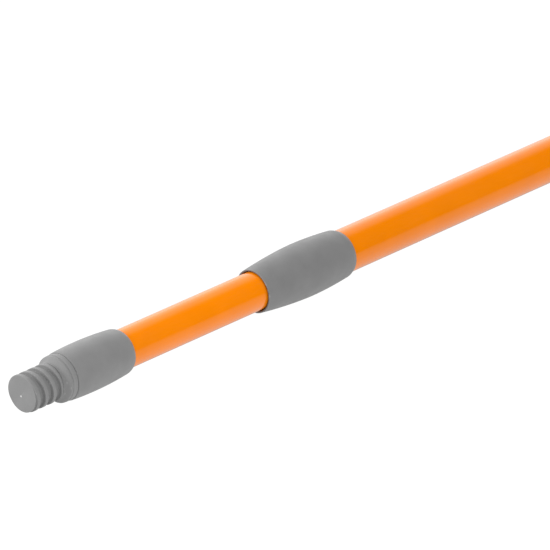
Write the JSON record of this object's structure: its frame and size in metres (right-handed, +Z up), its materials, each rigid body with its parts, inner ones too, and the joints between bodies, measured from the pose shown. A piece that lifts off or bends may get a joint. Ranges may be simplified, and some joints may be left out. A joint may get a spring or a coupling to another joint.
{
  "type": "roller extension pole",
  "caption": "Two-section telescoping pole with a screw-thread tip, barrel sleeves, a guide collar and a twist lock inside.",
  "frame": {"origin": "centre of the threaded tip's flat end face, on the pole's axis", "axes": "+X runs along the pole from the tip back to the butt, +Z is up, +Y completes the right-handed set"},
  "size_m": [0.7871, 0.0268, 0.0268],
  "materials": {
    "outer_tube": "gloss orange paint on thin steel tube",
    "collar": "satin grey moulding",
    "guide_bush": "natural slippery moulding",
    "butt_plug": "satin grey moulding",
    "butt_sleeve": "satin grey moulding",
    "butt_pin": "plain steel",
    "expander": "black moulding",
    "drag_ring_front": "black rubber",
    "drag_ring_rear": "black rubber",
    "wedge_nut": "natural moulding",
    "threaded_tip": "satin grey moulding",
    "tip_sleeve": "satin grey moulding",
    "tip_pin": "plain steel",
    "inner_tube": "gloss orange paint on thin steel tube",
    "lock_plug": "natural moulding",
    "plug_pin": "plain steel",
    "lock_spindle": "plain steel",
    "stop_washer": "plain steel",
    "retaining_clip": "plain steel"
  },
  "bodies": {
    "rear_section": {"outer_tube": "outer_tube", "collar": "collar", "guide_bush": "guide_bush", "butt_plug": "butt_plug", "butt_sleeve": "butt_sleeve", "butt_pin": "butt_pin"},
    "lock_expander": {"expander": "expander", "drag_ring_front": "drag_ring_front", "drag_ring_rear": "drag_ring_rear"},
    "lock_wedge": {"wedge_nut": "wedge_nut"},
    "front_section": {"threaded_tip": "threaded_tip", "tip_sleeve": "tip_sleeve", "tip_pin": "tip_pin", "inner_tube": "inner_tube", "lock_plug": "lock_plug", "plug_pin": "plug_pin", "lock_spindle": "lock_spindle", "stop_washer": "stop_washer", "retaining_clip": "retaining_clip"}
  },
  "joints": [
    {"name": "extension", "type": "slide", "parent": "rear_section", "child": "lock_expander", "axis": [-1, 0, 0], "range_m": [-0.0869, 0.418]},
    {"name": "twist_lock", "type": "hinge", "parent": "lock_expander", "child": "front_section", "pos_m": [0.604, 0, 0], "axis": [1, 0, 0], "range_deg": [0, 180]},
    {"name": "wedge_travel", "type": "slide", "parent": "lock_expander", "child": "lock_wedge", "axis": [-1, 0, 0], "range_m": [0, 0.002]}
  ],
  "couplings": [
    {"joint": "wedge_travel", "follows": "twist_lock", "m_per_rad": 0.0006366}
  ]
}
